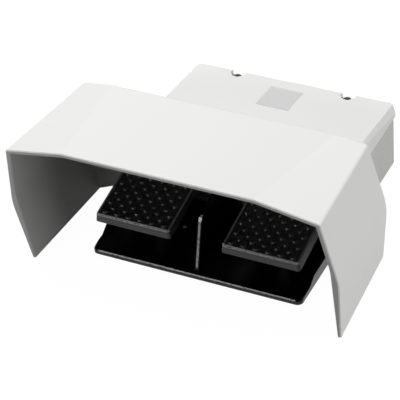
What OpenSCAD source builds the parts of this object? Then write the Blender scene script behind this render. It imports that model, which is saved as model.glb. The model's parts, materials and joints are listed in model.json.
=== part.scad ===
// Double pedal foot switch with a guard hood, in millimetres.
// X runs across the pedals, Y points away from the operator and Z up.
// The origin is on the floor, under the middle of the whole switch.

/* [Body] */
// Width of the pedal tray and of the switch housing
body_w = 220; // [212:1:236]
// Depth from the tray's front edge to the housing's back face
body_d = 242; // [236:1:260]
// Depth of the open tray, up to the housing's front face
tray_d = 105; // [103:1:112]
// Thickness of the base plate
plate_t = 5.7; // [4.5:0.1:7]
// Radius of the body's upright corners
corner_r = 6; // [3:0.5:8]
// Height of the tray's low side walls above its floor
side_wall_h = 6.2; // [4:0.2:10]
// Thickness of the tray's low side walls
side_wall_t = 4; // [3:0.5:5]
// Where the low side walls start, behind the tray's front edge
side_wall_y = 20; // [14:1:30]
// Height of the housing, from the body's underside to its rim
housing_h = 54.3; // [52:0.1:62]
// Wall of the housing
housing_wall = 5.5; // [4:0.5:7]
// Wall of the housing's skirt, round the base plate
skirt_t = 2.8; // [2:0.1:4]

/* [Cover] */
// Height of the cover's back edge above the gasket
cover_back_h = 12.3; // [11:0.1:16]
// Slope of the cover's top, up towards the operator, in degrees
cover_slope = 5.7; // [3:0.1:7]
// Wall of the cover
cover_wall = 3; // [2:0.1:4]
// How far the cover laps out over the housing
cover_lap = 1; // [0.6:0.1:1.6]
// Height of the cover's upright skirt
cover_skirt_h = 4; // [3:0.5:6]
// How far the cover's sides lean in above the skirt
cover_lean = 3.5; // [2:0.5:6]
// Radius along the cover's upper edges
cover_edge_r = 2.5; // [2:0.5:4]
// Distance between the two cover screws
cover_screw_w = 121; // [100:1:140]
// Distance of the cover screws from the housing's back face
cover_screw_y = 4.4; // [4.2:0.1:5]
// Width of the notch over each cover screw
notch_w = 15.5; // [13:0.5:20]
// Radius of the notch in front of its screw
notch_r = 6.2; // [5.5:0.1:8]
// Thickness of the cover under the head of its screw
notch_seat_t = 7; // [6:0.1:8]
// Thickness of the cover gasket
gasket_t = 1; // [0.8:0.1:2]

/* [Guard hood] */
// Wall of the hood
hood_wall = 5; // [4:0.1:6]
// Thickness of each wing at its lower edge
blade_t = 3.4; // [2.5:0.1:5]
// Height of the hood's lower edge above the floor
hood_gap = 2.6; // [2:0.1:6]
// Distance from the tray's front edge forward to the wings' lower front corners
hood_reach = 27.5; // [20:0.5:35]
// Rake of the hood's front opening, in degrees
hood_rake = 9.45; // [6:0.1:12]
// Gap between the foot of the hood's back wall and the housing
hood_housing_gap = 6; // [5.5:0.1:7]
// How much higher the back wall's lower edge lies beside the tray
hood_arch = 18; // [14:1:20]
// Lean of the hood's back wall, in degrees
hood_lean = 6.1; // [5:0.1:7]
// Half width of the hood's front at the tips, knees, shoulders and top bends
hood_front_x = [161, 166.2, 155.4, 94.8];
// Heights of the hood's front at the knees, shoulders and top bends
hood_front_z = [76.1, 149.6, 162];
// Half width of the hood's back at the tips, knees, shoulders and top bends
hood_back_x = [154.2, 161.6, 146.2, 115.7];
// Heights of the hood's back at the knees, shoulders and top bends
hood_back_z = [69, 140.8, 145];
// How far the wing's inner bend lies above its outer one
knee_lift = 17; // [5:1:25]
// Radii of the wings' knees, the shoulders and the top bends
hood_bend_r = [90, 3.5, 18];
// Radius between the hood's skin and its back wall
hood_back_r = 5.5; // [5.5:0.5:8]
// Radius along the edges of the hood's front opening
hood_lip_r = 1; // [0.6:0.1:1.6]
// Thickness of the two flanges that screw to the tray's posts
flange_t = 4; // [3:0.5:6]

/* [Pedals] */
// Distance of a pedal's inner edge from the middle of the switch
pedal_inner = 27.7; // [25:0.5:30]
// Distance of a pedal's outer edge from the body's side
pedal_outer = 4.6; // [3.5:0.1:8]
// Length of a pedal's plate
pedal_l = 64.7; // [60:0.1:66]
// Height of the pedal's edge
pedal_t = 8.5; // [7.5:0.1:9.5]
// How far the pedal's edge flares out towards its foot
pedal_flare = 1.4; // [0.5:0.1:2]
// Radius of the pedal's corners
pedal_r = 3; // [2:0.5:6]
// Skin of the pedal casting
pedal_skin = 3; // [2:0.1:3.5]
// Slope of a pedal at rest, down towards the operator, in degrees
pedal_slope = 11; // [9:0.5:12]
// Travel of a pedal, in degrees
pedal_travel = 8; // [5:0.5:9]
// Height of the pedal's top above its axle, square to the plate
pedal_rise = 15.7; // [15:0.1:17]
// Distance of the pedal's back edge in front of the axle, along the plate
pedal_back = 14; // [13:0.5:15]
// Diameter of the pedal axle
axle_d = 10; // [8:0.5:11]
// Distance of the axle in front of the housing
axle_front = 17; // [16:0.1:18]
// Height of the axle above the body's underside
axle_h = 42.3; // [41.5:0.1:43]
// Diameter of the pedal's hub
hub_d = 22; // [20:0.5:23]
// Wall of the pedal bushes
bush_wall = 1.5; // [1:0.1:2]
// Thickness of the bush's flange
bush_flange_t = 1.2; // [0.8:0.1:2]
// Length of the pedal bushes
bush_l = 14; // [10:1:20]
// Length of the finger under the hub, from the axle to the middle of its tip
finger_l = 22; // [20:0.5:23]
// Width of the finger
finger_w = 14; // [10:1:18]
// Thickness of the finger
finger_t = 10; // [8:0.5:11]

/* [Pedal mat] */
// Depth of the mat's recess in the pedal
mat_t = 2; // [1.5:0.1:2.5]
// Width of the rim round the mat
mat_rim = 2; // [1.5:0.1:3]
// Diameter of a stud
stud_d = 6.6; // [5:0.1:8]
// Height of a stud
stud_h = 1.6; // [1:0.1:2.5]
// Distance between studs in a row
stud_pitch = 12.6; // [11:0.1:14]
// Distance between rows of studs
stud_row = 6.45; // [6:0.05:8]
// Distance of the first row from the pedal's front edge
stud_front = 6.6; // [6:0.1:9]

/* [Springs and stops] */
// Wire of the pedal springs
spring_wire = 1.8; // [1.2:0.1:2.2]
// Mean diameter of the pedal springs
spring_d = 14; // [12:0.5:16]
// Turns of the pedal springs
spring_turns = 7.5; // [6:0.5:9]
// Distance of the pedal springs in front of the axle
spring_front = 26; // [25:0.5:28]
// Height of the pedal springs
spring_h = 31; // [26:0.5:33]
// Distance of the down stops in front of the axle
stop_front = 42; // [40:1:46]
// Distance between the two down stops of a pedal
stop_w = 36; // [32:1:44]
// Diameter of a stop's rubber cap
stop_d = 9; // [8:0.5:11]
// Thickness of the stops' rubber
stop_t = 3; // [2:0.5:4]

/* [Switches] */
// Diameter of the plunger
plunger_d = 8; // [6:0.5:9]
// Thickness of the plunger's head
plunger_head_t = 3; // [2:0.5:3]
// Diameter of the plunger's head
plunger_head_d = 12; // [10:0.5:13]
// Wall of the plunger's guide bush
guide_wall = 3; // [2:0.5:4]
// Width, depth and height of a contact block
block_size = [34, 38, 29];
// Distance of the contact blocks behind the housing's front face
block_back = 18; // [17:0.5:22]
// Wall of a contact block
block_wall = 4; // [3:0.5:5]
// Diameter of the contact block's stem
stem_d = 6; // [4:0.5:7]
// Open gap of the contacts at rest
contact_gap = 3.6; // [3.4:0.1:5]
// Thickness of the contact strips
strip_t = 1.2; // [1:0.1:1.5]
// Thickness of the steel mounting plate
rail_t = 2; // [1.5:0.1:3]

/* [Fixings] */
// Height of the rubber feet below the body
foot_h = 2; // [1:0.5:4]
// Diameter of the rubber feet
foot_d = 18; // [14:1:22]
// Distance of the feet from the body's sides
foot_side = 16; // [13:1:20]
// Distance of the front feet from the tray's front edge
foot_front = 14; // [12:1:18]
// Distance of the back feet from the housing's back face
foot_back = 32; // [28:1:36]
// Width of the floor fixing pattern
fix_w = 80; // [76:1:84]
// Depth of the floor fixing pattern
fix_d = 150; // [146:1:152]
// Distance of the front fixing holes in front of the housing
fix_front = 43; // [41:1:45]
// Diameter of the floor fixing holes, tapped from below
fix_hole_d = 5; // [4:0.1:6]
// Thread of the cover, hood and housing screws
screw_d = 5; // [4:0.5:5]
// Lengths of the cover, housing, divider and hood screws
screw_l = [22, 22, 15, 11]; // [8:1:26]
// Thread of the small screws inside the housing
small_screw_d = 3.5; // [3:0.5:4]
// Outer diameter of the cable gland's thread
gland_d = 20; // [16:1:22]
// Distance between the gland and the blanking plug
gland_w = 90; // [60:1:110]
// Height of the gland above the body's underside
gland_h = 27; // [22:1:32]
// Diameter of the cable hole in the gland's seal
cable_d = 10; // [6:0.5:11]

/* [Thin parts] */
// Thickness of the divider between the pedals
divider_t = 3.5; // [2.5:0.5:5]
// Height of the divider above the body's underside, at its back
divider_h = 67; // [62:1:74]
// Width of the divider's post round the axle
divider_post_w = 22; // [20:1:24]

/* [Hidden] */

// Clearances: a sliding fit, a loose fit, and the gap left between pieces that only meet
slide_gap = 0.05;
loose_gap = 0.25;
meet_gap = 0.3;
round_fn = 48;
edge_fn = 24;

// Heights
body_z = foot_h;
floor_z = body_z + plate_t;
rim_z = body_z + housing_h;
seam_z = rim_z + gasket_t;
axle_z = body_z + axle_h;
plunger_z = axle_z - finger_l;
gland_z = body_z + gland_h;
hood_top_z = hood_front_z[2];

// Gland and plug, outside the housing's back face
gland_hex_t = 8;
gland_nut_l = 14;
gland_hex_r = gland_d * 0.66;
plug_head_t = 4;

// Depths. The hood's upper front edge and the gland's end are the two extremes.
hood_front_out = hood_reach + (hood_top_z - hood_lip_r - hood_gap) * tan(hood_rake);
tray_y = (hood_front_out - body_d - gland_hex_t - gland_nut_l) / 2;
housing_y = tray_y + tray_d;
axle_y = housing_y - axle_front;
back_y = tray_y + body_d;
cover_back_y = back_y + 2.4 * cover_lap;
cover_screw_z = seam_z + notch_seat_t;

// Posts of the tray that carry the axle and the hood
pedal_w = body_w / 2 - pedal_inner - pedal_outer;
pedal_x = pedal_inner + pedal_w / 2;
post_w = 10;
post_x = body_w / 2 - post_w;
post_y = axle_y - 12;
post_top = rim_z - 0.2;
flange_x = body_w / 2 + loose_gap;
hood_screw_y = axle_y - 6.5;
hood_screw_z = [body_z + 28, body_z + 48];
flange_z = [body_z + 20, rim_z - 2];

// The pedal's hub runs between the divider's post and the tray's post
hub_x0 = divider_post_w / 2 + meet_gap + bush_flange_t;
hub_x1 = post_x - meet_gap - bush_flange_t;
bush_r = axle_d / 2 + slide_gap + bush_wall;

// Points of a pedal: along the plate from the axle, and square to it, for a slope
function pedal_point(along, up, slope) =
    [axle_y + along * cos(slope) - up * sin(slope), axle_z + along * sin(slope) + up * cos(slope)];
rib_front = 60;
rib_foot = 8;
rib_heel = 4;
pressed = pedal_slope + pedal_travel;
// The lowest place of the pressed ribs over a down stop, at its front edge
stop_along = -(stop_front + stop_d / 2 + 2);
stop_z = pedal_point(stop_along, rib_heel, pressed)[1] - meet_gap;
stop_y = axle_y - stop_front;
spring_y = axle_y - spring_front;
seat_z = floor_z + spring_h + meet_gap;
plunger_y = axle_y + finger_t / 2 + meet_gap;
finger_travel = finger_l * sin(pedal_travel);

// Contact block
block_w = block_size[0];
block_y = housing_y + block_back;
block_z = floor_z + rail_t;
bridge_y = block_y + 16;
contact_y = bridge_y + strip_t + contact_gap;
terminal_y = contact_y + 6;

// ---------- small helpers ----------

// Rectangle with round corners, centred in X, from y = 0 back
module round_rect(w, d, r) {
    translate([-w / 2 + r, 0]) square([w - 2 * r, d]);
    translate([-w / 2, r]) square([w, d - 2 * r]);
    for (x = [-w / 2 + r, w / 2 - r], y = [r, d - r]) translate([x, y]) circle(r = r, $fn = round_fn);
}

// A plate of that outline, its front edge at y and its underside at z
module plate(w, d, h, r, y, z) {
    translate([0, y, z]) linear_extrude(height = h) round_rect(w, d, r);
}

// A block given by its lowest and highest corner
module block(low, high) {
    translate(low) cube(high - low);
}

// A round bar along X, Y or Z, from a point
module bar_x(p, d, l) { translate(p) rotate([0, 90, 0]) cylinder(d = d, h = l, $fn = round_fn); }
module bar_y(p, d, l) { translate(p) rotate([-90, 0, 0]) cylinder(d = d, h = l, $fn = round_fn); }
module bar_z(p, d, l) { translate(p) cylinder(d = d, h = l, $fn = round_fn); }

// Pieces of the left side are the mirror of the right side's
module on_side(side) {
    if (side < 0) mirror([1, 0, 0]) children();
    else children();
}
module on_both() {
    for (side = [-1, 1]) on_side(side) children();
}

// A pan head screw along +Z: the shank stands on z = 0 below the head
module pan_screw(d, l) {
    translate([0, 0, -l]) cylinder(d = d, h = l, $fn = round_fn);
    difference() {
        cylinder(d1 = 1.9 * d, d2 = 1.6 * d, h = 0.62 * d, $fn = round_fn);
        for (a = [0, 90]) rotate(a) translate([-0.5 * d, -0.1 * d, 0.3 * d]) cube([d, 0.2 * d, d]);
    }
}

// A countersunk screw along +Z, its flat head's top on z = 0
module flat_screw(d, l) {
    difference() {
        union() {
            translate([0, 0, -l]) cylinder(d = d, h = l, $fn = round_fn);
            translate([0, 0, -d / 2]) cylinder(d1 = d, d2 = 2 * d, h = d / 2, $fn = round_fn);
        }
        for (a = [0, 90]) rotate(a) translate([-0.5 * d, -0.1 * d, -0.3 * d]) cube([d, 0.2 * d, d]);
    }
}

// ---------- base ----------

// Side view of the tray's wall on the right: low beside the pedal, then up to the axle's post
module side_wall_profile() {
    ramp = 12;
    polygon([
        [tray_y + side_wall_y, floor_z - 1], [tray_y + side_wall_y + ramp, floor_z + side_wall_h],
        [post_y - ramp, floor_z + side_wall_h + 0.4], [post_y + 0.5, floor_z + 26], [post_y + 0.5, floor_z - 1]
    ]);
}

module fixing_places() {
    for (x = [-fix_w / 2, fix_w / 2], y = [-fix_front, fix_d - fix_front]) translate([x, housing_y + y, 0]) children();
}

module foot_places() {
    for (x = [-1, 1] * (body_w / 2 - foot_side), y = [tray_y + foot_front, back_y - foot_back])
        translate([x, y, 0]) children();
}

// Corner bosses of the housing, each with a screw from below
boss_in = housing_wall + 4;
module housing_screw_places() {
    for (x = [-1, 1] * (body_w / 2 - boss_in), y = [housing_y + boss_in, back_y - boss_in])
        translate([x, y, 0]) children();
}

module divider_screw_places() {
    for (y = [axle_y - 7, axle_y + 7]) translate([0, y, 0]) children();
}

rail_half_w = pedal_x + block_w / 2 + 8;
rail_y0 = block_y - 6;
rail_d = block_size[1] + 14;
module rail_screw_places() {
    for (x = [-1, 1] * (rail_half_w - 4), y = [rail_y0 + 5, rail_y0 + rail_d - 5]) translate([x, y, 0]) children();
}

module base_plate() {
    color("#1b1c1e")
    difference() {
        union() {
            plate(body_w, tray_d - meet_gap, plate_t, corner_r, tray_y, body_z);
            plate(body_w - 2 * (skirt_t + loose_gap), body_d - tray_d + 20 - skirt_t - loose_gap,
                plate_t, corner_r - skirt_t, housing_y - 20, body_z);
            on_both() {
                translate([body_w / 2 - side_wall_t, 0, 0]) rotate([90, 0, 90])
                    linear_extrude(height = side_wall_t) side_wall_profile();
                block([post_x, post_y, floor_z - 1], [body_w / 2, housing_y - meet_gap, post_top]);
                // posts under the rubber stops, and the peg inside the spring
                for (x = [-1, 1] * stop_w / 2)
                    bar_z([pedal_x + x, stop_y, floor_z - 1], stop_d + 3, stop_z - stop_t - floor_z + 1);
                block([pedal_x - finger_w / 2, axle_y - finger_t / 2 - meet_gap - stop_t - 6, floor_z - 1],
                    [pedal_x + finger_w / 2, axle_y - finger_t / 2 - meet_gap - stop_t, plunger_z + finger_t / 2]);
                bar_z([pedal_x, spring_y, floor_z - 1], spring_d - 2 * spring_wire - 1, 4);
            }
        }
        foot_places() bar_z([0, 0, body_z - 1], foot_d + 2 * loose_gap, 3);
        fixing_places() bar_z([0, 0, body_z - 1], fix_hole_d, plate_t + 2);
        housing_screw_places() {
            bar_z([0, 0, body_z - 1], screw_d + 2 * loose_gap, plate_t + 2);
            translate([0, 0, body_z - 0.01])
                cylinder(d1 = 2 * screw_d + 1, d2 = screw_d, h = screw_d / 2 + 0.5, $fn = round_fn);
        }
        divider_screw_places() {
            bar_z([0, 0, body_z - 1], screw_d + 2 * loose_gap, plate_t + 2);
            translate([0, 0, body_z - 0.01])
                cylinder(d1 = 2 * screw_d + 1, d2 = screw_d, h = screw_d / 2 + 0.5, $fn = round_fn);
        }
        rail_screw_places() bar_z([0, 0, body_z + 1], small_screw_d, plate_t);
        bar_z([0, rail_y0 + 5, body_z + 1], small_screw_d, plate_t);
        on_both() {
            bar_x([post_x - 1, axle_y, axle_z], axle_d + 2 * slide_gap, post_w + 2);
            bar_z([post_x + post_w / 2, axle_y, axle_z], screw_d, post_top - axle_z + 1);
            for (z = hood_screw_z) bar_x([body_w / 2 - screw_l[3] + 3, hood_screw_y, z], screw_d, screw_l[3]);
        }
    }
}

module rubber_feet() {
    color("#26262a") foot_places() {
        translate([0, 0, 1]) cylinder(d = foot_d, h = body_z + 1, $fn = round_fn);
        cylinder(d1 = foot_d - 2, d2 = foot_d, h = 1, $fn = round_fn);
    }
}

// ---------- divider between the pedals ----------

module centre_divider() {
    front = tray_y + 6;
    color("#1b1c1e")
    difference() {
        union() {
            translate([-divider_t / 2, 0, 0]) rotate([90, 0, 90]) linear_extrude(height = divider_t)
                polygon([
                    [front, floor_z], [front + 14.5, floor_z + 48], [front + 17, floor_z + 51.5],
                    [front + 26, body_z + divider_h - 8], [front + 45, body_z + divider_h - 2],
                    [front + 62, body_z + divider_h], [cover_front_y - meet_gap, body_z + divider_h],
                    [cover_front_y - meet_gap, post_top], [axle_y + 11, post_top], [axle_y + 11, floor_z]
                ]);
            block([-divider_post_w / 2, axle_y - 11, floor_z], [divider_post_w / 2, axle_y + 11, axle_z + 10.5]);
        }
        bar_x([-divider_post_w, axle_y, axle_z], axle_d + 2 * slide_gap, 2 * divider_post_w);
        divider_screw_places() bar_z([0, 0, floor_z - 1], screw_d, screw_l[2]);
    }
}

module divider_screws() {
    color("silver") divider_screw_places() translate([0, 0, body_z + 0.4]) rotate([180, 0, 0]) flat_screw(screw_d, screw_l[2]);
}

// ---------- housing ----------

module housing_body() {
    depth = body_d - tray_d;
    color("#a9a8a4")
    difference() {
        union() {
            difference() {
                plate(body_w, depth, housing_h, corner_r, housing_y, body_z);
                plate(body_w - 2 * housing_wall, depth - 2 * housing_wall, housing_h, corner_r / 2,
                    housing_y + housing_wall, floor_z);
                block([-body_w / 2 + skirt_t, housing_y - 1, body_z - 1], [body_w / 2 - skirt_t, back_y - skirt_t, floor_z]);
            }
            intersection() {
                housing_screw_places() bar_z([0, 0, floor_z], 12, housing_h - plate_t - 14);
                plate(body_w - 1, depth - 1, housing_h, corner_r, housing_y + 0.5, body_z);
            }
            notch_places() block([-6.5, -7, floor_z], [6.5, 0, rim_z]);
            for (x = [-1, 1] * gland_w / 2) bar_y([x, back_y - housing_wall - 3, gland_z], gland_d + 8, 5);
        }
        housing_screw_places() bar_z([0, 0, floor_z - 1], screw_d, screw_l[1]);
        notch_places() bar_z([0, 0, rim_z - screw_l[0] + 2], screw_d, screw_l[0]);
        for (x = [-1, 1] * gland_w / 2) bar_y([x, back_y - housing_wall - 5, gland_z], gland_d, housing_wall + 10);
        for (x = [-1, 1] * pedal_x)
            bar_y([x, housing_y - 1, plunger_z], plunger_d + 2 * guide_wall, housing_wall + 2);
    }
}

module housing_screws() {
    color("silver") housing_screw_places() translate([0, 0, body_z + 0.4]) rotate([180, 0, 0]) flat_screw(screw_d, screw_l[1]);
}

module cover_gasket() {
    depth = body_d - tray_d;
    color("#141414")
    difference() {
        union() {
            difference() {
                plate(body_w - 1, depth - 1, gasket_t, corner_r, housing_y + 0.5, rim_z);
                plate(body_w - 2 * housing_wall, depth - 2 * housing_wall, 3 * gasket_t, corner_r / 2,
                    housing_y + housing_wall, rim_z - gasket_t);
            }
            notch_places() block([-6.5, -7, rim_z], [6.5, 0, rim_z + gasket_t]);
        }
        notch_places() bar_z([0, 0, rim_z - 1], screw_d + 2 * loose_gap, gasket_t + 2);
    }
}

// ---------- cover ----------

// The face of the hood's back wall that its wings start from, at a height
function hood_back_y(z) = housing_y - hood_housing_gap - (z - hood_gap) * tan(hood_lean);
function cover_top_z(y) = seam_z + cover_back_h + (cover_back_y - y) * tan(cover_slope);
cover_front_y = hood_back_y(seam_z + 24) - hood_wall;

// Outer form of the cover, or its hollow when it is taken in by a wall
module cover_form(inset) {
    half_w = body_w / 2 + cover_lap - inset;
    depth = cover_back_y - cover_front_y - 2 * inset;
    hull() {
        translate([0, cover_front_y + inset, seam_z - (inset > 0 ? 1 : 0)])
            linear_extrude(height = cover_skirt_h) hull() round_rect(2 * half_w, depth, corner_r - inset / 2, $fn = 32);
        for (x = [-1, 1] * (half_w - cover_lean - cover_edge_r),
             y = [cover_front_y + inset + cover_edge_r, cover_back_y - inset - 0.1 - cover_edge_r])
            translate([x, y, cover_top_z(y) - inset - cover_edge_r]) sphere(r = cover_edge_r, $fn = edge_fn);
    }
}

module notch_places() {
    for (x = [-1, 1] * cover_screw_w / 2) translate([x, back_y - cover_screw_y, 0]) children();
}

module housing_cover() {
    color("#eeefec")
    difference() {
        cover_form(0);
        difference() {
            intersection() {
                cover_form(cover_wall);
                union() {
                    block([-body_w, housing_y + housing_wall, 0], [body_w, back_y - housing_wall, 2 * rim_z]);
                    block([-body_w, cover_front_y, 0], [body_w, housing_y + 0.5, 2 * rim_z]);
                }
            }
            notch_places() translate([-notch_w / 2 - cover_wall, -notch_r - cover_wall, 0])
                cube([notch_w + 2 * cover_wall, 40, 2 * rim_z]);
        }
        notch_places() {
            translate([-notch_w / 2, -1, cover_screw_z]) cube([notch_w, 40, 40]);
            bar_z([0, 0, cover_screw_z], 2 * notch_r, 40);
            bar_z([0, 0, seam_z - 1], screw_d + 2 * loose_gap, notch_seat_t + 2);
        }
    }
}

module cover_screws() {
    color("#8f9091") notch_places() translate([0, 0, cover_screw_z]) pan_screw(screw_d, screw_l[0]);
}

// ---------- guard hood ----------
// The hood's skin is one strip of rings. Each ring runs from the right wing's lower edge over the top
// to the left wing's lower edge, and the rings go from the front opening back along the outside, round
// into the back wall, through its opening, and forward again along the inside.

function mix(a, b, t) = a + (b - a) * t;
function unit(v) = v / norm(v);
function turned(v) = [-v[1], v[0]];

// Corner points of the right half of a section, from the tip to the top bend, at a share t of the depth
function half_section(t) = [
    [mix(hood_front_x[0], hood_back_x[0], t), hood_gap],
    for (i = [0:2]) [
        mix(hood_front_x[i + 1], hood_back_x[i + 1], t),
        mix(hood_front_z[i], hood_back_z[i], t)
    ]
];

// A corner moved into the section by d, given its two neighbours
function inset_corner(a, p, b, d) =
    let (n1 = turned(unit(p - a)), n2 = turned(unit(b - p))) p + d * (n1 + n2) / (1 + n1 * n2);

// The same half section taken in by d, with its tip kept on the lower edge
function inset_half(s, d) = [
    s[0] - [d, 0],
    inset_corner(s[0], s[1], s[2], d), inset_corner(s[1], s[2], s[3], d), inset_corner(s[2], s[3], [0, s[3][1]], d)
];

// The inner face: the wall above, and a wing that thins to the blade's edge below its knee
function inner_half(t) =
    let (s = half_section(t), w = inset_half(s, hood_wall), up = knee_lift / (s[2][1] - s[1][1]))
    [s[0] - [blade_t, 0], mix(w[1], w[2], up), w[2], w[3]];

// Points of the round bend at corner p
arc_steps = 6;
function bend(a, p, b, r) =
    let (
        u = unit(a - p), v = unit(b - p), half = acos(u * v) / 2,
        reach = min(r / tan(half), 0.45 * min(norm(a - p), norm(b - p))),
        true_r = reach * tan(half), middle = p + unit(u + v) * true_r / sin(half),
        from = p + u * reach - middle, to = p + v * reach - middle, sweep = 180 - 2 * half
    )
    [for (k = [0:arc_steps]) middle + (from * sin(sweep * (1 - k / arc_steps)) + to * sin(sweep * k / arc_steps)) / sin(sweep)];

function rounded_half(s, change = 0) = concat(
    [s[0]],
    bend(s[0], s[1], s[2], hood_bend_r[0] + change),
    bend(s[1], s[2], s[3], max(hood_bend_r[1] + change, 0.8)),
    bend(s[2], s[3], [0, s[3][1]], hood_bend_r[2] + change)
);

// The whole ring in the section's plane: the right half, then the left one back down
function whole(half) = concat(half, [for (i = [len(half) - 1:-1:0]) [-half[i][0], half[i][1]]]);

// Rings in space, measured from the front plane or from the back wall's outer face
function hood_front_y(z) = tray_y - hood_reach - (z - hood_gap) * tan(hood_rake);
function front_ring(half, in) = [for (p = whole(half)) [p[0], hood_front_y(p[1]) + in, p[1]]];
function back_ring(half, in) = [for (p = whole(half)) [p[0], hood_back_y(p[1]) - in, p[1]]];

// Opening of the back wall, where the tray and the cover pass through
opening_x = body_w / 2 + cover_lap + 0.6;
opening_z = cover_top_z(hood_back_y(seam_z + 24)) + 1.2;
side_steps = arc_steps + 1;
opening_half = concat(
    [for (k = [0:side_steps]) [opening_x, mix(hood_gap + hood_arch, opening_z - 12, k / side_steps)]],
    [for (k = [0:arc_steps]) [opening_x - 4 * (1 - cos(90 * k / arc_steps)), opening_z - 4 * (1 - sin(90 * k / arc_steps))]],
    [for (k = [0:arc_steps]) [mix(opening_x - 12, 40, k / arc_steps), opening_z]]
);

hood_depth = tray_d - hood_housing_gap + hood_reach;
back_steps = 4;
inner_back_r = max(hood_back_r - hood_wall, 1.5);
hood_rings = concat(
    [front_ring(rounded_half(inset_half(half_section(0), hood_lip_r), -hood_lip_r), 0)],
    [front_ring(rounded_half(half_section(0)), hood_lip_r)],
    [for (k = [0:back_steps]) let (a = 90 * k / back_steps, in = hood_back_r * (1 - sin(a)))
        back_ring(rounded_half(inset_half(half_section(1 - in / hood_depth), hood_back_r * (1 - cos(a))),
            -hood_back_r * (1 - cos(a)) / 2), in)],
    [back_ring(opening_half, 0)],
    [back_ring(opening_half, hood_wall)],
    [for (k = [back_steps:-1:0]) let (a = 90 * k / back_steps, in = inner_back_r * (1 - sin(a)))
        back_ring(rounded_half(inset_half(inner_half(1 - (in + hood_wall) / hood_depth), inner_back_r * (1 - cos(a))),
            -hood_wall / 2), hood_wall + in)],
    [front_ring(rounded_half(inner_half(0), -hood_wall / 2), hood_lip_r)],
    [front_ring(rounded_half(inset_half(inner_half(0), -hood_lip_r), -hood_wall / 2), 0)]
);

// Closes a strip of rings: the last ring joins the first, and the flat lower ends are filled
// between the outer rings and the inner ones that face them
module ring_strip(rings) {
    n = len(rings[0]);
    m = len(rings);
    corner = function (j, i) (j % m) * n + i;
    polyhedron(
        points = [for (ring = rings) for (p = ring) p],
        faces = concat(
            [for (j = [0:m - 1], i = [0:n - 2]) [corner(j, i), corner(j + 1, i + 1), corner(j + 1, i)]],
            [for (j = [0:m - 1], i = [0:n - 2]) [corner(j, i), corner(j, i + 1), corner(j + 1, i + 1)]],
            [for (j = [0:m / 2 - 2]) [corner(j, 0), corner(m - 2 - j, 0), corner(m - 1 - j, 0)]],
            [for (j = [0:m / 2 - 2]) [corner(j, 0), corner(j + 1, 0), corner(m - 2 - j, 0)]],
            [for (j = [0:m / 2 - 2]) [corner(j, n - 1), corner(m - 1 - j, n - 1), corner(m - 2 - j, n - 1)]],
            [for (j = [0:m / 2 - 2]) [corner(j, n - 1), corner(m - 2 - j, n - 1), corner(j + 1, n - 1)]]
        ),
        convexity = 6
    );
}

module guard_hood() {
    color("#eeefec")
    difference() {
        union() {
            ring_strip(hood_rings);
            on_both() translate([flange_x, 0, 0]) rotate([90, 0, 90]) linear_extrude(height = flange_t)
                polygon([
                    [post_y + 1, flange_z[0]], [hood_back_y(flange_z[0]) - 1, flange_z[0]],
                    [hood_back_y(flange_z[1]) - 1, flange_z[1]], [post_y + 1, flange_z[1]]
                ]);
        }
        on_both() for (z = hood_screw_z)
            bar_x([flange_x - 1, hood_screw_y, z], screw_d + 2 * loose_gap, flange_t + 2);
    }
}

module hood_screws() {
    color("#8f9091") on_both() for (z = hood_screw_z)
        translate([flange_x + flange_t, hood_screw_y, z]) rotate([0, 90, 0]) pan_screw(screw_d, screw_l[3]);
}

// ---------- pedals ----------

module in_pedal_plane() {
    translate([pedal_x, axle_y, axle_z]) rotate([pedal_slope, 0, 0]) children();
}

pedal_front = -pedal_back - pedal_l;
mat_z = pedal_rise - mat_t;

// Side view of a rib under the plate, in the pedal's own plane
module rib_profile() {
    polygon([
        [0, -hub_d / 2 + 2], [-20, rib_heel], [-rib_front, rib_foot], [-rib_front, mat_z - 1],
        [-pedal_back - 1, mat_z - 1], [0, hub_d / 2 - 0.5]
    ]);
}

module pedal_casting(side) {
    slab = 0.4;
    foot_z = pedal_rise - pedal_t;
    color("#202124") on_side(side)
    difference() {
        union() {
            difference() {
                in_pedal_plane() difference() {
                    hull() {
                        translate([0, pedal_front, pedal_rise - slab]) linear_extrude(height = slab)
                            round_rect(pedal_w, pedal_l, pedal_r, $fn = 32);
                        translate([0, pedal_front - pedal_flare, foot_z]) linear_extrude(height = slab)
                            round_rect(pedal_w + 2 * pedal_flare, pedal_l + pedal_flare, pedal_r, $fn = 32);
                    }
                    block([-pedal_w / 2 + mat_rim, pedal_front + mat_rim, mat_z],
                        [pedal_w / 2 - mat_rim, -pedal_back - mat_rim, pedal_rise + 1]);
                    block([-pedal_w / 2 + pedal_skin, pedal_front + pedal_skin, foot_z - 1],
                        [pedal_w / 2 - pedal_skin, -pedal_back - pedal_skin, mat_z - pedal_skin]);
                }
            }
            in_pedal_plane() for (x = [-1, 1] * stop_w / 2)
                translate([x - 2.5, 0, 0]) rotate([90, 0, 90]) linear_extrude(height = 5) rib_profile();
            in_pedal_plane() block([-stop_w / 2, -pedal_back - 2, 4], [stop_w / 2, 0, hub_d / 2 - 0.5]);
            bar_x([hub_x0, axle_y, axle_z], hub_d, hub_x1 - hub_x0);
            // finger that pushes the plunger
            block([pedal_x - finger_w / 2, axle_y - finger_t / 2, plunger_z],
                [pedal_x + finger_w / 2, axle_y + finger_t / 2, axle_z]);
            bar_x([pedal_x - finger_w / 2, axle_y, plunger_z], finger_t, finger_w);
            // seat of the spring, with its peg
            intersection() {
                union() {
                    bar_z([pedal_x, spring_y, seat_z], spring_d + 4, 30);
                    bar_z([pedal_x, spring_y, seat_z - 3], spring_d - 2 * spring_wire - 1, 10);
                }
                in_pedal_plane() block([-20, pedal_front, -30], [20, 0, mat_z - 1]);
            }
        }
        bar_x([hub_x0 - 1, axle_y, axle_z], 2 * bush_r, hub_x1 - hub_x0 + 2);
    }
}

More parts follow.
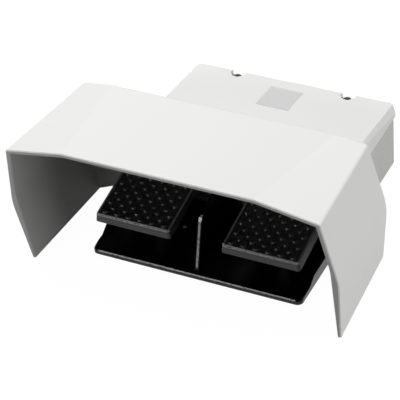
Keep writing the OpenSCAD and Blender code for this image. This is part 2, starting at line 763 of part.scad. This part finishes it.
// Full rows and rows set half a pitch aside, each with one stud fewer, take turns
module pedal_mat(side) {
    half_w = pedal_w / 2 - mat_rim - 0.1;
    back = -pedal_back - mat_rim - 0.1;
    edge = stud_d / 2 + 1;
    rows = floor((pedal_l - stud_front - mat_rim - edge) / stud_row);
    across = floor((2 * half_w - 2 * edge) / stud_pitch);
    color("#17181a") on_side(side) in_pedal_plane() {
        block([-half_w, pedal_front + mat_rim + 0.1, mat_z], [half_w, back, pedal_rise]);
        for (row = [0:rows]) let (count = across - row % 2)
            for (k = [0:count])
                translate([(k - count / 2) * stud_pitch, pedal_front + stud_front + row * stud_row, pedal_rise]) {
                    cylinder(d = stud_d, h = 0.6 * stud_h, $fn = 24);
                    translate([0, 0, 0.6 * stud_h])
                        cylinder(d1 = stud_d, d2 = 0.72 * stud_d, h = 0.4 * stud_h, $fn = 24);
                }
    }
}

module pedal_bushes(side) {
    r = axle_d / 2 + slide_gap;
    color("#b08d4f") on_side(side)
    difference() {
        union() {
            bar_x([hub_x0, axle_y, axle_z], 2 * bush_r, bush_l);
            bar_x([hub_x0 - bush_flange_t, axle_y, axle_z], 2 * bush_r + 4, bush_flange_t);
            bar_x([hub_x1 - bush_l, axle_y, axle_z], 2 * bush_r, bush_l);
            bar_x([hub_x1, axle_y, axle_z], 2 * bush_r + 4, bush_flange_t);
        }
        bar_x([hub_x0 - 5, axle_y, axle_z], 2 * r, hub_x1 - hub_x0 + 10);
    }
}

// Coil spring that stands on z = 0, its end turns laid flat
module coil_spring(d, wire, h, turns) {
    steps = 14;
    sides = 6;
    flat = 0.8;
    count = ceil(turns * steps);
    rise = function (turn) (h - wire) * min(max((turn - flat) / (turns - 2 * flat), 0), 1);
    polyhedron(
        points = [for (i = [0:count], k = [0:sides - 1])
            let (turn = turns * i / count, a = 360 * turn, b = 360 * k / sides, r = (d + wire * cos(b)) / 2)
            [r * cos(a), r * sin(a), wire / 2 + rise(turn) + wire / 2 * sin(b)]],
        faces = concat(
            [for (i = [0:count - 1], k = [0:sides - 1]) let (n = (k + 1) % sides)
                [i * sides + k, i * sides + n, (i + 1) * sides + n, (i + 1) * sides + k]],
            [[for (k = [sides - 1:-1:0]) k]],
            [[for (k = [0:sides - 1]) count * sides + k]]
        ),
        convexity = 8
    );
}

module pedal_spring(side) {
    color("silver") on_side(side) translate([pedal_x, spring_y, floor_z + meet_gap / 2])
        coil_spring(spring_d, spring_wire, spring_h, spring_turns);
}

module pedal_axle() {
    length = body_w - 1;
    color("silver")
    difference() {
        bar_x([-length / 2, axle_y, axle_z], axle_d, length);
        for (x = [-1, 1] * (post_x + post_w / 2)) bar_z([x, axle_y, axle_z + axle_d / 2 - 1], screw_d + 1, 5);
    }
}

module axle_grub_screws() {
    seat = axle_z + axle_d / 2 - 0.9;
    color("#3a3a3c") for (x = [-1, 1] * (post_x + post_w / 2))
        translate([x, axle_y, seat]) difference() {
            cylinder(d = screw_d - 0.1, h = 6, $fn = round_fn);
            translate([0, 0, 3]) cylinder(d = screw_d / 2, h = 4, $fn = 6);
        }
}

module down_stops() {
    color("#2c2c2e") on_both() for (x = [-1, 1] * stop_w / 2)
        translate([pedal_x + x, stop_y, stop_z - stop_t]) {
            cylinder(d = stop_d, h = stop_t - 1, $fn = round_fn);
            translate([0, 0, stop_t - 1]) cylinder(d1 = stop_d, d2 = stop_d - 2, h = 1, $fn = round_fn);
        }
}

module rest_stops() {
    face = axle_y - finger_t / 2 - meet_gap;
    color("#2c2c2e") on_both()
        block([pedal_x - finger_w / 2, face - stop_t, plunger_z - finger_t / 2],
            [pedal_x + finger_w / 2, face, plunger_z + finger_t / 2]);
}

// ---------- switch mechanism ----------

module plunger(side) {
    color("silver") on_side(side) {
        bar_y([pedal_x, plunger_y, plunger_z], plunger_head_d, plunger_head_t);
        bar_y([pedal_x, plunger_y + 1, plunger_z], plunger_d, block_y - 4 - plunger_y - 1);
    }
}

// Bellows between the plunger's head and the housing, turned about the plunger
module plunger_boot(side) {
    start = plunger_y + plunger_head_t + meet_gap;
    length = housing_y - meet_gap - start;
    inner = plunger_d / 2 + 0.4;
    outer = inner + 3.6;
    waist = inner + 1.8;
    color("#202022") on_side(side) translate([pedal_x, start, plunger_z]) rotate([-90, 0, 0])
        rotate_extrude($fn = 32) polygon([
            [inner, 0], [waist, 0], [outer, length * 0.25], [waist, length * 0.5],
            [outer, length * 0.75], [outer, length], [inner, length],
            [waist + 0.8, length * 0.75], [inner, length * 0.5], [waist + 0.8, length * 0.25]
        ]);
}

module plunger_guides() {
    color("#b08d4f") on_both() difference() {
        union() {
            bar_y([pedal_x, housing_y, plunger_z], plunger_d + 2 * guide_wall, housing_wall + 1);
            bar_y([pedal_x, housing_y + housing_wall, plunger_z], plunger_d + 2 * guide_wall + 4, 1.5);
        }
        bar_y([pedal_x, housing_y - 1, plunger_z], plunger_d + 2 * slide_gap, housing_wall + 4);
    }
}

module mounting_plate() {
    color("#b9bbbd")
    difference() {
        block([-rail_half_w, rail_y0, floor_z], [rail_half_w, rail_y0 + rail_d, floor_z + rail_t]);
        rail_screw_places() bar_z([0, 0, floor_z - 1], small_screw_d + 2 * loose_gap, rail_t + 2);
        bar_z([0, rail_y0 + 5, floor_z - 1], small_screw_d + 2 * loose_gap, rail_t + 2);
    }
}

module mounting_plate_screws() {
    color("silver") rail_screw_places() translate([0, 0, floor_z + rail_t]) pan_screw(small_screw_d, rail_t + 3);
}

// Places of a block's two fixed contacts, mirrored about its middle
contact_x = block_w / 2 - block_wall - 4;
module contact_places() {
    for (x = [-1, 1]) translate([pedal_x + x * contact_x, 0, 0]) children();
}

module contact_block(side) {
    top = block_z + block_size[2];
    cavity_top = min(plunger_z + 9, top - block_wall);
    color("#3b3d40") on_side(side)
    difference() {
        block([pedal_x - block_w / 2, block_y, block_z], [pedal_x + block_w / 2, block_y + block_size[1], top]);
        block([pedal_x - block_w / 2 + block_wall, block_y + block_wall, block_z + block_wall],
            [pedal_x + block_w / 2 - block_wall, block_y + block_size[1] - block_wall, cavity_top]);
        bar_y([pedal_x, block_y - 1, plunger_z], stem_d + 2 * slide_gap, block_wall + 2);
        contact_places() {
            translate([-2.7, contact_y - 0.2, cavity_top - 1]) cube([5.4, strip_t + 0.4, 30]);
            bar_z([0, terminal_y, top - 8], small_screw_d, 9);
        }
    }
}

module contact_bridge(side) {
    half_w = block_w / 2 - block_wall - 1;
    color("#c77b43") on_side(side) {
        bar_y([pedal_x, block_y - 4, plunger_z], stem_d, 30);
        difference() {
            block([pedal_x - half_w, bridge_y, plunger_z - 4], [pedal_x + half_w, bridge_y + strip_t, plunger_z + 4]);
            bar_y([pedal_x, bridge_y - 1, plunger_z], stem_d - 1, strip_t + 2);
        }
    }
}

module fixed_contacts(side) {
    top = block_z + block_size[2];
    color("#c9975b") on_side(side) contact_places() {
        translate([-2.5, contact_y, plunger_z - 3]) cube([5, strip_t, top + strip_t - plunger_z + 3]);
        difference() {
            translate([-2.5, contact_y, top]) cube([5, 11, strip_t]);
            bar_z([0, terminal_y, top - 1], small_screw_d + 0.4, 4);
        }
    }
}

module terminal_screws() {
    color("silver") on_both() contact_places()
        translate([0, terminal_y, block_z + block_size[2] + strip_t]) pan_screw(small_screw_d, 7);
}

module earth_terminal() {
    top = floor_z + rail_t;
    color("#c9b25b") translate([0, rail_y0 + 5, top]) {
        difference() {
            cylinder(d = 9, h = 1, $fn = round_fn);
            translate([0, 0, -1]) cylinder(d = small_screw_d, h = 3, $fn = round_fn);
        }
        translate([0, 0, 1]) pan_screw(small_screw_d, rail_t + 4);
    }
}

// ---------- cable entry ----------

module at_gland(side) {
    translate([side * gland_w / 2, back_y, gland_z]) rotate([-90, 0, 0]) children();
}

module gland_body() {
    bore = cable_d + 4;
    color("#9a9b9c") at_gland(1)
    difference() {
        union() {
            translate([0, 0, -housing_wall - 3]) cylinder(d = gland_d - 0.1, h = housing_wall + 3, $fn = round_fn);
            cylinder(r = gland_hex_r, h = gland_hex_t, $fn = 6);
            translate([0, 0, gland_hex_t]) cylinder(d = gland_d - 1, h = 5, $fn = round_fn);
        }
        translate([0, 0, -20]) cylinder(d = bore, h = 50, $fn = round_fn);
    }
}

module gland_seal() {
    color("#1d1d1f") at_gland(1) translate([0, 0, gland_hex_t + 5.2])
    difference() {
        cylinder(d = cable_d + 6, h = 6.5, $fn = round_fn);
        translate([0, 0, -1]) cylinder(d = cable_d, h = 10, $fn = round_fn);
    }
}

module gland_nut() {
    inner = gland_d - 0.8;
    color("#9a9b9c") at_gland(1) translate([0, 0, gland_hex_t + 0.2])
    difference() {
        union() {
            cylinder(r = gland_hex_r, h = 6, $fn = 6);
            translate([0, 0, 6]) cylinder(r1 = gland_hex_r * 0.88, r2 = cable_d / 2 + 3.5, h = gland_nut_l - 6.2, $fn = round_fn);
        }
        translate([0, 0, -1]) cylinder(d = inner, h = 6, $fn = round_fn);
        translate([0, 0, 4]) cylinder(d = cable_d + 6.4, h = 7.7, $fn = round_fn);
        cylinder(d = cable_d + 2, h = 30, $fn = round_fn);
    }
}

module blanking_plug() {
    color("#2a2b2d") at_gland(-1)
    difference() {
        union() {
            translate([0, 0, -housing_wall - 3]) cylinder(d = gland_d - 0.1, h = housing_wall + 3, $fn = round_fn);
            cylinder(d = gland_d + 5, h = plug_head_t - 1, $fn = round_fn);
            translate([0, 0, plug_head_t - 1])
                cylinder(d1 = gland_d + 5, d2 = gland_d + 3, h = 1, $fn = round_fn);
        }
        translate([-8, -1.2, plug_head_t - 2]) cube([16, 2.4, 4]);
    }
}

base_plate();
rubber_feet();
centre_divider();
divider_screws();
housing_body();
housing_screws();
cover_gasket();
housing_cover();
cover_screws();
guard_hood();
hood_screws();
pedal_axle();
axle_grub_screws();
pedal_casting(-1);  // left_pedal
pedal_mat(-1);  // left_pedal_mat
pedal_bushes(-1);  // left_pedal_bushes
pedal_spring(-1);  // left_pedal_spring
pedal_casting(1);  // right_pedal
pedal_mat(1);  // right_pedal_mat
pedal_bushes(1);  // right_pedal_bushes
pedal_spring(1);  // right_pedal_spring
down_stops();
rest_stops();
plunger(-1);  // left_plunger
plunger_boot(-1);  // left_plunger_boot
plunger(1);  // right_plunger
plunger_boot(1);  // right_plunger_boot
plunger_guides();
mounting_plate();
mounting_plate_screws();
contact_block(-1);  // left_contact_block
contact_block(1);  // right_contact_block
contact_bridge(-1);  // left_contact_bridge
contact_bridge(1);  // right_contact_bridge
fixed_contacts(-1);  // left_fixed_contacts
fixed_contacts(1);  // right_fixed_contacts
terminal_screws();
earth_terminal();
gland_body();
gland_seal();
gland_nut();
blanking_plug();
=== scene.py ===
"""Looks of the double pedal foot switch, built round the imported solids. Lengths in metres."""
import json
import math

import bmesh
import bpy
from mathutils import Matrix, Vector


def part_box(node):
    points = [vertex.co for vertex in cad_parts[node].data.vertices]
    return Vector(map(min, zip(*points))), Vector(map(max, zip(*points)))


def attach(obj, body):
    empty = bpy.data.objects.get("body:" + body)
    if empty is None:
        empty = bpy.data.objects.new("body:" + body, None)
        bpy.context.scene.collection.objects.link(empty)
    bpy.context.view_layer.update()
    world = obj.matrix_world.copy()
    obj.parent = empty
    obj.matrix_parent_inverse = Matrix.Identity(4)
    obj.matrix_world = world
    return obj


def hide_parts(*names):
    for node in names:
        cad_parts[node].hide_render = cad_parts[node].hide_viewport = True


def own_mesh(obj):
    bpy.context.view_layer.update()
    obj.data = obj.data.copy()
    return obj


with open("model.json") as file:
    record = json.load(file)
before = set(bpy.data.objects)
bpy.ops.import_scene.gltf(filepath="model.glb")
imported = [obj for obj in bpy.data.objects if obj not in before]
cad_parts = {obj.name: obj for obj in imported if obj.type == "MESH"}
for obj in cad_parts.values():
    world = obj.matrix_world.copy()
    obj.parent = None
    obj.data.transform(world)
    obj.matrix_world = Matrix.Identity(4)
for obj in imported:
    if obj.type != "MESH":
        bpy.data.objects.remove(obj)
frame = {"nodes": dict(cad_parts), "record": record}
NODES = frame["nodes"]
MM = 0.001


PLATE_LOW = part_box("base_plate")[0]
HOUSING_REAR_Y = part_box("housing_body")[1].y
TRAY_Y = PLATE_LOW.y
TRAY_RISE = 5.7 * MM
FLOOR_Z = PLATE_LOW.z + TRAY_RISE


# ---------------------------------------------------------------- materials
PER_METRE = 1000
NOISE_LOW, NOISE_HIGH = 0.35, 0.65
# Noise limits for the specks of the painted highlight lines.
SPECKS_FROM, SPECKS_TO = 0.42, 0.52
BUMP_HEIGHT = 0.3 * MM
MIX_A, MIX_B, MIXED = 6, 7, 2


def material(name, color, rough, metal=0.0, grain=0.0, grain_size=1.0, rough_spread=0.06, tint_spread=0.0,
             coat=0.0, cells=0.0, cell_size=2.0, shine=0.5):
    """A surface with its own colour and roughness, a fine grain and, for hammer paint, cells. Sizes in mm."""
    m = bpy.data.materials.new(name)
    m.use_nodes = True
    tree = m.node_tree
    shader = tree.nodes["Principled BSDF"]
    shader.inputs["Base Color"].default_value = (*color, 1)
    shader.inputs["Roughness"].default_value = rough
    shader.inputs["Metallic"].default_value = metal
    shader.inputs["Coat Weight"].default_value = coat
    shader.inputs["Specular IOR Level"].default_value = shine
    coords = tree.nodes.new("ShaderNodeTexCoord")
    noise = tree.nodes.new("ShaderNodeTexNoise")
    noise.inputs["Scale"].default_value = PER_METRE / grain_size
    noise.inputs["Detail"].default_value = 3
    tree.links.new(coords.outputs["Object"], noise.inputs["Vector"])
    spread = tree.nodes.new("ShaderNodeMapRange")
    spread.inputs["To Min"].default_value = rough - rough_spread
    spread.inputs["To Max"].default_value = rough + rough_spread
    tree.links.new(noise.outputs["Fac"], spread.inputs["Value"])
    tree.links.new(spread.outputs["Result"], shader.inputs["Roughness"])
    height = noise.outputs["Fac"]
    if cells:
        cell = tree.nodes.new("ShaderNodeTexVoronoi")
        cell.inputs["Scale"].default_value = PER_METRE / cell_size
        tree.links.new(coords.outputs["Object"], cell.inputs["Vector"])
        both = tree.nodes.new("ShaderNodeMath")
        both.operation = "MULTIPLY_ADD"
        both.inputs[1].default_value = cells
        tree.links.new(cell.outputs["Distance"], both.inputs[0])
        tree.links.new(noise.outputs["Fac"], both.inputs[2])
        height = both.outputs["Value"]
    if grain:
        bump = tree.nodes.new("ShaderNodeBump")
        bump.inputs["Strength"].default_value = grain
        bump.inputs["Distance"].default_value = BUMP_HEIGHT
        tree.links.new(height, bump.inputs["Height"])
        tree.links.new(bump.outputs["Normal"], shader.inputs["Normal"])
    if tint_spread:
        ramp = tree.nodes.new("ShaderNodeMapRange")
        ramp.inputs["From Min"].default_value = NOISE_LOW
        ramp.inputs["From Max"].default_value = NOISE_HIGH + cells / 2
        ramp.inputs["To Min"].default_value = 1 - tint_spread
        ramp.inputs["To Max"].default_value = 1 + tint_spread
        mix = tree.nodes.new("ShaderNodeVectorMath")
        mix.operation = "SCALE"
        mix.inputs[0].default_value = color
        tree.links.new(height, ramp.inputs["Value"])
        tree.links.new(ramp.outputs["Result"], mix.inputs["Scale"])
        tree.links.new(mix.outputs["Vector"], shader.inputs["Base Color"])
    return m


def painted_highlight_line(m, name, limits, color, speck_size=0.9):
    """A copy of a paint with a painted highlight: a light colour laid in specks between limits, (axis, from,
    to) in metres, where a lamp's glint on a rounded edge shows.
    """
    painted_highlight = m.copy()
    painted_highlight.name = name
    tree = painted_highlight.node_tree
    shader = tree.nodes["Principled BSDF"]
    coords = tree.nodes.new("ShaderNodeTexCoord")
    split = tree.nodes.new("ShaderNodeSeparateXYZ")
    tree.links.new(coords.outputs["Object"], split.inputs[0])
    specks = tree.nodes.new("ShaderNodeTexNoise")
    specks.inputs["Scale"].default_value = PER_METRE / speck_size
    tree.links.new(coords.outputs["Object"], specks.inputs["Vector"])
    found = tree.nodes.new("ShaderNodeMapRange")
    found.inputs["From Min"].default_value = SPECKS_FROM
    found.inputs["From Max"].default_value = SPECKS_TO
    tree.links.new(specks.outputs["Fac"], found.inputs["Value"])
    mask = found.outputs["Result"]
    for axis, start, end in limits:
        for operation, limit in (("GREATER_THAN", start), ("LESS_THAN", end)):
            side_of = tree.nodes.new("ShaderNodeMath")
            side_of.operation = operation
            side_of.inputs[1].default_value = limit
            tree.links.new(split.outputs[axis], side_of.inputs[0])
            both = tree.nodes.new("ShaderNodeMath")
            both.operation = "MULTIPLY"
            tree.links.new(mask, both.inputs[0])
            tree.links.new(side_of.outputs[0], both.inputs[1])
            mask = both.outputs[0]
    blend = tree.nodes.new("ShaderNodeMix")
    blend.data_type = "RGBA"
    blend.inputs[MIX_A].default_value = shader.inputs["Base Color"].default_value
    blend.inputs[MIX_B].default_value = (*color, 1)
    tree.links.new(mask, blend.inputs[0])
    tree.links.new(blend.outputs[MIXED], shader.inputs["Base Color"])
    return painted_highlight


MATERIALS = {
    "white_paint": material("white paint", (0.80, 0.805, 0.79), 0.5, grain=0.08, grain_size=1.6, shine=0.15),
    "grey_paint": material("grey hammer paint", (0.50, 0.495, 0.475), 0.45, grain=0.35, grain_size=1.0,
                           tint_spread=0.12, cells=0.5, cell_size=1.6),
    "black_paint": material("black paint", (0.0015, 0.0015, 0.0017), 0.24, grain=0.3, grain_size=1.0,
                            shine=0.3),
    "pedal_black": material("black pedal paint", (0.12, 0.12, 0.121), 0.4, grain=0.6, grain_size=1.1,
                            tint_spread=0.95, shine=0.2),
    "mat_rubber": material("mat rubber", (0.002, 0.002, 0.0022), 0.3, grain=0.03, grain_size=1.2, shine=1.0),
    "rubber": material("rubber", (0.015, 0.015, 0.016), 0.6, grain=0.2, grain_size=1.0),
    "zinc_steel": material("zinc plated steel", (0.48, 0.48, 0.475), 0.3, metal=1.0, grain=0.05,
                           grain_size=0.8),
    "dark_steel": material("blackened steel", (0.05, 0.05, 0.05), 0.4, metal=1.0, grain=0.05, grain_size=0.8),
    "bright_steel": material("ground steel", (0.62, 0.62, 0.62), 0.22, metal=1.0, grain=0.05, grain_size=0.6),
    "bronze": material("bronze", (0.55, 0.36, 0.16), 0.35, metal=1.0, grain=0.05, grain_size=0.8),
    "block_plastic": material("block plastic", (0.03, 0.032, 0.035), 0.5, grain=0.1, grain_size=1.2),
    "contact_brass": material("contact brass", (0.7, 0.45, 0.2), 0.3, metal=1.0, grain=0.05, grain_size=0.8),
    "gland_metal": material("gland metal", (0.5, 0.51, 0.52), 0.35, metal=1.0, grain=0.08, grain_size=0.8),
    "plug_plastic": material("plug plastic", (0.012, 0.012, 0.013), 0.45, grain=0.12, grain_size=1.0),
    "label": material("label foil", (0.67, 0.675, 0.67), 0.42, grain=0.05, grain_size=0.8, tint_spread=0.06),
}


EDGE_DEPTH = 2.5 * MM


def front_edge_height(node):
    """Height of a pedal's front top edge at rest."""
    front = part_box(node)[0].y + EDGE_DEPTH
    return max(v.co.z for v in NODES[node].data.vertices if v.co.y < front)


DIVIDER_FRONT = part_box("centre_divider")[0].y
PEDAL_EDGE_Z = front_edge_height("left_pedal")
PEDAL_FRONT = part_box("left_pedal")[0].y
BEFORE = 1 * MM
# Places of the painted highlights: the divider's front edge, the front face of the rounded tray lip and the
# pedals' front top edge.
DIVIDER_PAINTED_HIGHLIGHT = {"half_width": 1.0 * MM, "low": FLOOR_Z + 3 * MM, "high": 0.06, "depth": 20 * MM}
LIP_PAINTED_HIGHLIGHT = {"half_width": 0.104, "low": FLOOR_Z - 2.1 * MM, "high": FLOOR_Z - 0.9 * MM, "depth": 1.2 * MM}
PEDAL_PAINTED_HIGHLIGHT = {"low": PEDAL_EDGE_Z - 1.3 * MM, "high": PEDAL_EDGE_Z + 1 * MM, "depth": 3 * MM}
# Colours of the painted highlights, near white on the black paint and light grey on the pedals.
PAINTED_HIGHLIGHT_WHITE = (0.9, 0.9, 0.89)
PAINTED_HIGHLIGHT_GREY = (0.75, 0.75, 0.74)


def painted_highlight_limits(place, front):
    """Limits of a painted highlight line for painted_highlight_line, from its heights, its depth behind a
    front and its width.
    """
    wide = [("X", -place["half_width"], place["half_width"])] if "half_width" in place else []
    return wide + [("Z", place["low"], place["high"]), ("Y", front - BEFORE, front + place["depth"])]


# Black paints with painted highlight lines laid on them in light specks.
MATERIALS["divider_paint"] = painted_highlight_line(MATERIALS["black_paint"], "divider paint with a worn front",
                                       painted_highlight_limits(DIVIDER_PAINTED_HIGHLIGHT, DIVIDER_FRONT), PAINTED_HIGHLIGHT_WHITE)
MATERIALS["tray_paint"] = painted_highlight_line(MATERIALS["black_paint"], "tray paint with a worn lip",
                                    painted_highlight_limits(LIP_PAINTED_HIGHLIGHT, TRAY_Y), PAINTED_HIGHLIGHT_WHITE)
MATERIALS["pedal_paint"] = painted_highlight_line(MATERIALS["pedal_black"], "pedal paint with a worn front edge",
                                     painted_highlight_limits(PEDAL_PAINTED_HIGHLIGHT, PEDAL_FRONT), PAINTED_HIGHLIGHT_GREY)


# ---------------------------------------------------------------- the solids as they show
def dress(node, slot, edge, angle=38):
    """Gives a solid its finish and breaks its edges sharper than angle degrees by edge mm."""
    o = NODES[node]
    o.data.materials.clear()
    o.data.materials.append(MATERIALS[slot])
    weld = o.modifiers.new("join seams", "WELD")
    weld.merge_threshold = 0.01 * MM
    bevel = o.modifiers.new("break edges", "BEVEL")
    bevel.width = edge * MM
    bevel.segments = 2
    bevel.limit_method = "ANGLE"
    bevel.angle_limit = math.radians(angle)
    bevel.harden_normals = True


# The divider and the pedals take the paints with painted highlight lines.
FINISH = {"centre_divider": "divider_paint", "left_pedal": "pedal_paint", "right_pedal": "pedal_paint"}
SOFT_EDGES = {"left_pedal": 1.0, "right_pedal": 1.0, "left_pedal_mat": 1.2, "right_pedal_mat": 1.2,
              "centre_divider": 0.5, "housing_body": 0.6}
USUAL_EDGE = 0.3
for part in frame["record"]["subparts"]:
    node = part["node"]
    dress(node, FINISH.get(node, part["material_slot"]), edge=SOFT_EDGES.get(node, USUAL_EDGE))


# ---------------------------------------------------------------- merged copies of solids
def merged_copy(node):
    """The solid as one skin, its doubled points merged."""
    bm = bmesh.new()
    bm.from_mesh(NODES[node].data)
    bmesh.ops.remove_doubles(bm, verts=bm.verts, dist=0.005 * MM)
    return bm


def stand_in(bm, name, node, slot, smooth_under=40, finish=None):
    """Makes the skin a piece that stands for the solid, with edges over smooth_under degrees left sharp."""
    for edge in bm.edges:
        edge.smooth = len(edge.link_faces) == 2 and edge.calc_face_angle(0) < math.radians(smooth_under)
    for face in bm.faces:
        face.smooth = True
    mesh = bpy.data.meshes.new(name)
    bm.to_mesh(mesh)
    bm.free()
    mesh.materials.append(MATERIALS[finish or slot])
    piece = bpy.data.objects.new(name, mesh)
    bpy.context.scene.collection.objects.link(piece)
    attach(piece, "switch")
    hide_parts(node)
    return piece


def even_normals(piece):
    flat = piece.modifiers.new("even normals", "WEIGHTED_NORMAL")
    flat.keep_sharp = True
    flat.weight = 80


LIP_ROUND = 3 * MM
LIP_DEPTH = 12 * MM
SAME_HEIGHT = 0.05 * MM
SHARP = 1.2


def tray_with_round_front():
    """The base plate, the top edge of its front lip rounded as pressed."""
    bm = merged_copy("base_plate")
    bmesh.ops.dissolve_limit(bm, angle_limit=math.radians(0.5), verts=bm.verts, edges=bm.edges)

    def on_lip(v):
        return abs(v.co.z - FLOOR_Z) < SAME_HEIGHT and v.co.y < TRAY_Y + LIP_DEPTH

    lip = [e for e in bm.edges if on_lip(e.verts[0]) and on_lip(e.verts[1]) and e.calc_face_angle(0) > SHARP]
    bmesh.ops.bevel(bm, geom=lip, offset=LIP_ROUND, segments=6, profile=0.5, affect="EDGES", material=-1)
    # The tray takes the paint with a painted highlight line along its lip.
    piece = stand_in(bm, "pressed_base_plate", "base_plate", "black_paint", finish="tray_paint")
    even_normals(piece)


def hood_shell():
    """The guard hood as large smooth faces with crisp bends."""
    bm = merged_copy("guard_hood")
    bmesh.ops.dissolve_limit(bm, angle_limit=math.radians(0.4), verts=bm.verts, edges=bm.edges)
    even_normals(stand_in(bm, "hood_shell", "guard_hood", "white_paint", smooth_under=32))


tray_with_round_front()
hood_shell()


def return_coil(side):
    """The return spring as a smooth stand-in piece with a mesh of its own."""
    node = side + "_pedal_spring"
    coil = stand_in(merged_copy(node), side + "_return_coil", node, "bright_steel")
    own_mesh(coil)


def boot_bellows(side):
    """The boot over the plunger as a smooth stand-in piece with a mesh of its own."""
    node = side + "_plunger_boot"
    bellows = stand_in(merged_copy(node), side + "_boot_bellows", node, "rubber")
    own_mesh(bellows)


for side in ("left", "right"):
    return_coil(side)
    boot_bellows(side)


# ---------------------------------------------------------------- bare plate on the cover
PLATE_W, PLATE_L, PLATE_T = 35 * MM, 38.5 * MM, 0.5 * MM
PLATE_MIDDLE_Y = TRAY_Y + 208 * MM
PLATE_CORNER = 1.2 * MM
PLATE_SUNK = 0.1 * MM
RIM_WIDTH = 1.1 * MM
GROOVE_WIDTH, GROOVE_DEPTH = 0.25 * MM, 0.12 * MM
FLAT_HALF = 0.108
REAR_STRIP = 20 * MM


def cover_top(y):
    """Height and slope of the sloped cover at y, measured on its own top face."""
    points = [v.co for v in NODES["housing_cover"].data.vertices if abs(v.co.x) < FLAT_HALF]
    high = max((p for p in points), key=lambda p: p.z)
    rear = max((p for p in points if p.y > HOUSING_REAR_Y - REAR_STRIP), key=lambda p: p.z)
    slope = (rear.z - high.z) / (rear.y - high.y)
    return high.z + (y - high.y) * slope, slope


def rating_plate():
    """A bare foil plate with round corners and a fine groove inside its rim."""
    bm = bmesh.new()
    bmesh.ops.create_grid(bm, x_segments=1, y_segments=1, size=0.5)
    bmesh.ops.scale(bm, vec=(PLATE_W, PLATE_L, 1), verts=bm.verts)
    bmesh.ops.bevel(bm, geom=list(bm.verts), offset=PLATE_CORNER, segments=4, profile=0.5,
                    affect="VERTICES", material=-1)
    face = bmesh.ops.extrude_face_region(bm, geom=list(bm.faces))
    top = [g for g in face["geom"] if isinstance(g, bmesh.types.BMVert)]
    bmesh.ops.translate(bm, vec=(0, 0, PLATE_T), verts=top)
    bm.normal_update()
    lid = [f for f in bm.faces if f.normal.z > 0.9]
    bmesh.ops.inset_region(bm, faces=lid, thickness=RIM_WIDTH, depth=0)
    lid = [f for f in bm.faces if f.normal.z > 0.9 and len(f.verts) > 4]
    bmesh.ops.inset_region(bm, faces=lid, thickness=GROOVE_WIDTH, depth=-GROOVE_DEPTH)
    bmesh.ops.recalc_face_normals(bm, faces=bm.faces)
    mesh = bpy.data.meshes.new("bare_plate")
    z, slope = cover_top(PLATE_MIDDLE_Y)
    place = Matrix.Translation((0, PLATE_MIDDLE_Y, z - PLATE_SUNK))
    bm.transform(place @ Matrix.Rotation(math.atan(slope), 4, "X"))
    bm.to_mesh(mesh)
    bm.free()
    plate = bpy.data.objects.new("bare_plate", mesh)
    bpy.context.scene.collection.objects.link(plate)
    mesh.materials.append(MATERIALS["label"])
    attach(plate, "switch")


rating_plate()


# ---------------------------------------------------------------- floor, light and camera
FLOOR_HALF = 6
FLOOR_TINT = 0.035
FLOOR_GLOW = 0.98


def white_floor():
    """A floor that is white to the camera and in reflections and throws little light back."""
    bm = bmesh.new()
    bmesh.ops.create_grid(bm, x_segments=1, y_segments=1, size=FLOOR_HALF)
    mesh = bpy.data.meshes.new("floor")
    bm.to_mesh(mesh)
    bm.free()
    floor = bpy.data.objects.new("floor", mesh)
    bpy.context.scene.collection.objects.link(floor)
    m = bpy.data.materials.new("floor white")
    m.use_nodes = True
    tree = m.node_tree
    shader = tree.nodes["Principled BSDF"]
    shader.inputs["Base Color"].default_value = (FLOOR_TINT, FLOOR_TINT, FLOOR_TINT, 1)
    shader.inputs["Roughness"].default_value = 0.9
    glow = tree.nodes.new("ShaderNodeEmission")
    glow.inputs["Strength"].default_value = FLOOR_GLOW
    lit = tree.nodes.new("ShaderNodeAddShader")
    tree.links.new(shader.outputs[0], lit.inputs[0])
    tree.links.new(glow.outputs[0], lit.inputs[1])
    path = tree.nodes.new("ShaderNodeLightPath")
    mix = tree.nodes.new("ShaderNodeMixShader")
    out = tree.nodes["Material Output"]
    either = tree.nodes.new("ShaderNodeMath")
    either.operation = "MAXIMUM"
    tree.links.new(path.outputs["Is Camera Ray"], either.inputs[0])
    tree.links.new(path.outputs["Is Glossy Ray"], either.inputs[1])
    tree.links.new(either.outputs[0], mix.inputs[0])
    tree.links.new(shader.outputs[0], mix.inputs[1])
    tree.links.new(lit.outputs[0], mix.inputs[2])
    tree.links.new(mix.outputs[0], out.inputs["Surface"])
    mesh.materials.append(m)


LAMPS_AIM = Vector((0, 0, 0.05))


def lamp(name, at, size, power):
    """A round lamp turned to the switch: place and size in metres, power in watts."""
    data = bpy.data.lights.new(name, "AREA")
    data.shape = "DISK"
    data.size = size
    data.energy = power
    o = bpy.data.objects.new(name, data)
    o.location = at
    o.rotation_euler = (LAMPS_AIM - Vector(at)).to_track_quat("-Z", "Y").to_euler()
    bpy.context.scene.collection.objects.link(o)


def pale_room():
    world = bpy.data.worlds.new("studio")
    world.use_nodes = True
    back = world.node_tree.nodes["Background"]
    back.inputs["Strength"].default_value = 0.03
    back.inputs["Color"].default_value = (1, 1, 1, 1)
    bpy.context.scene.world = world


def camera_to_the_right():
    """A long lens from the front right, above."""
    data = bpy.data.cameras.new("camera")
    data.lens = 171.67
    data.sensor_width = 36
    data.clip_end = 20
    camera = bpy.data.objects.new("camera", data)
    ahead = Vector((-0.38095, 0.69355, -0.61145))
    right = Vector((0.89893, 0.43255, -0.06943))
    up = Vector((-0.2163, 0.5761, 0.7882))
    spot = Vector((0.67651, -1.20685 + TRAY_Y, 1.16432))
    turn = Matrix((right, up, -ahead)).transposed().to_4x4()
    camera.matrix_world = Matrix.Translation(spot) @ turn
    bpy.context.scene.collection.objects.link(camera)
    bpy.context.scene.camera = camera


white_floor()
lamp("key light", (-0.5, 0.35, 1.8), 1.2, 32.5)
lamp("side light", (1.6, 0.02, 0.36), 1.1, 17)
lamp("front sparkle", (-0.55, -1.3, 0.76), 0.16, 5)
pale_room()
camera_to_the_right()

bpy.context.scene.view_settings.view_transform = "Standard"
